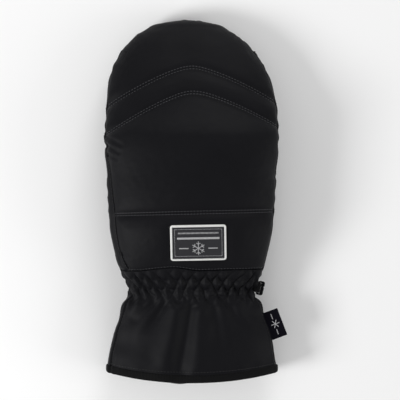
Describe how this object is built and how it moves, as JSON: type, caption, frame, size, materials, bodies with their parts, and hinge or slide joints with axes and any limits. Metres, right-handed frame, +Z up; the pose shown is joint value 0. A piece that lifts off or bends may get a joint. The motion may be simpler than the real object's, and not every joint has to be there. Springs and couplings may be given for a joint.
{
  "type": "ski mitten",
  "caption": "Padded right-hand ski mitten lying on its palm, with gathered wrist, flared cuff, woven label, side tag, pair clip and a thumb folded under the hand.",
  "frame": {"origin": "on the table under the middle of the mitten's outline, mitten lying on its palm", "axes": "+X across the hand away from the thumb, +Y from the hem to the fingertips, +Z up out of the back of the hand"},
  "size_m": [0.1458, 0.2891, 0.0637],
  "materials": {
    "shell_fabric": "black water-repellent nylon softshell weave",
    "palm_leather": "black grained synthetic leather",
    "batting": "off-white needled polyester padding",
    "membrane": "thin translucent waterproof film",
    "lining_fleece": "black brushed fleece",
    "elastic": "black woven elastic",
    "binding_tape": "black folded knit binding tape",
    "label_weave": "dark grey damask weave",
    "label_thread": "white merrowed edge thread",
    "tag_weave": "black satin weave",
    "webbing": "black ribbed polyester webbing",
    "clip_plastic": "black moulded acetal"
  },
  "bodies": {
    "mitten": {"back_tip_panel": "shell_fabric", "back_chevron_panel": "shell_fabric", "back_hand_panel": "shell_fabric", "back_label_panel": "shell_fabric", "thumb_side_gusset": "shell_fabric", "palm_panel": "palm_leather", "palm_grip_patch": "palm_leather", "wrist_band": "shell_fabric", "wrist_elastic": "elastic", "cuff_back_panel": "shell_fabric", "cuff_palm_panel": "shell_fabric", "hem_binding": "binding_tape", "back_batting": "batting", "palm_batting": "batting", "cuff_batting": "batting", "membrane_insert": "membrane", "hand_lining": "lining_fleece", "cuff_lining": "lining_fleece", "label_patch": "label_weave", "label_border": "label_thread", "thumb_collar": "shell_fabric", "webbing_loop": "webbing"},
    "thumb": {"thumb_back_panel": "shell_fabric", "thumb_palm_panel": "palm_leather", "thumb_batting": "batting", "thumb_membrane": "membrane", "thumb_lining": "lining_fleece"},
    "clip": {"pair_clip": "clip_plastic"},
    "tag": {"side_tag": "tag_weave"}
  },
  "joints": [
    {"name": "thumb_swing", "type": "hinge", "parent": "mitten", "child": "thumb", "pos_m": [-0.0414, -0.023, 0.0076], "axis": [0, 0, 1], "range_deg": [0, 55]},
    {"name": "clip_swing", "type": "hinge", "parent": "mitten", "child": "clip", "pos_m": [0.04972, -0.0685, 0.02749], "axis": [0.2419, 0.9703, 0], "range_deg": [-60, 60]},
    {"name": "tag_flap", "type": "hinge", "parent": "mitten", "child": "tag", "pos_m": [0.0586, -0.09975, 0.02366], "axis": [0.357, -0.9341, 0], "range_deg": [-35, 80], "stiffness_Nm_per_rad": 0.001}
  ]
}
